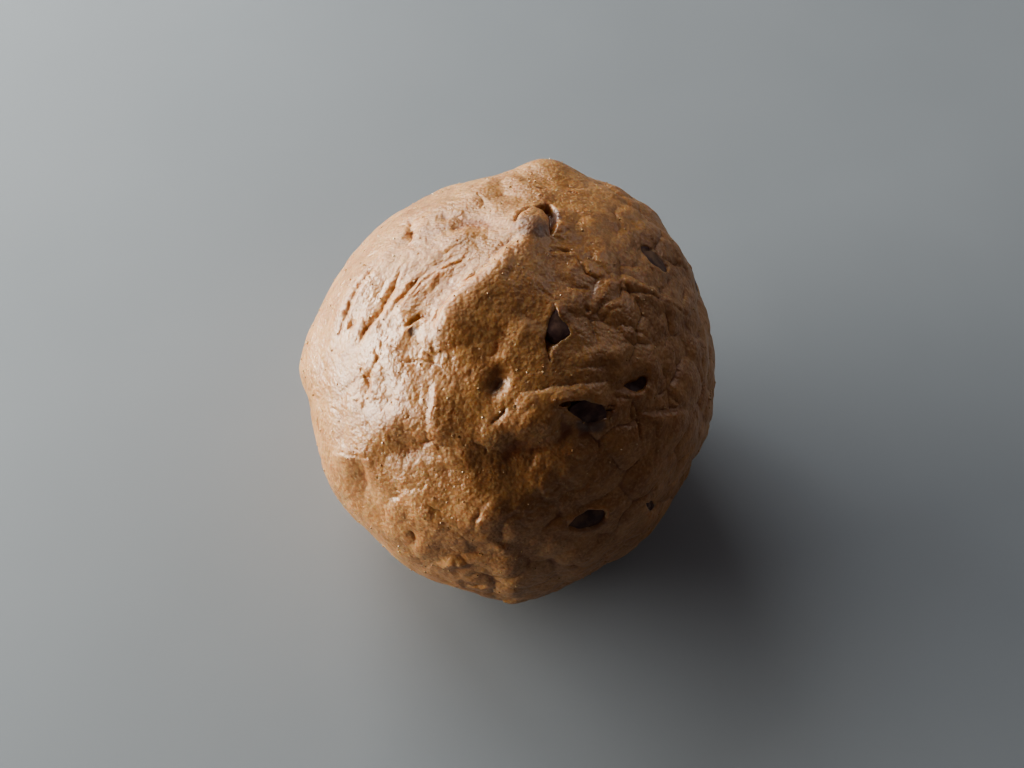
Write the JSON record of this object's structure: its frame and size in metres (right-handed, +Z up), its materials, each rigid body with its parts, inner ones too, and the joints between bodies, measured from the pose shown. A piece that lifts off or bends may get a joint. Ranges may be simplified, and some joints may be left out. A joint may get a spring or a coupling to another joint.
{
  "type": "ball of chocolate chip biscuit dough",
  "caption": "Hand-pressed ball of raw brown biscuit dough with folds, creases and chocolate chips set in its skin, resting on a small flat underside.",
  "frame": {"origin": "middle of the ball's bounding box, on the flat underside it rests on", "axes": "+Z up from the surface it rests on, +X to the right as seen by the picture's camera, +Y away from that camera; the face with the folds looks towards -Y and up"},
  "size_m": [0.0988, 0.1018, 0.09],
  "materials": {
    "dough": "soft greasy skin with fine sugar grain, satin sheen",
    "chocolate": "dark chocolate, satin, dusted with dough"
  },
  "bodies": {
    "root": {"dough": "dough", "chip_top": "chocolate", "chip_right_shoulder": "chocolate", "chip_middle": "chocolate", "chip_in_pit": "chocolate", "chip_right_hole": "chocolate", "chip_under_roll": "chocolate", "chip_low_right": "chocolate", "chip_rim_right": "chocolate", "chip_left_tip": "chocolate", "chip_back_1": "chocolate", "chip_back_2": "chocolate", "chip_back_3": "chocolate", "chip_back_4": "chocolate", "chip_back_5": "chocolate", "chip_back_6": "chocolate", "chip_side_left": "chocolate"}
  },
  "joints": []
}
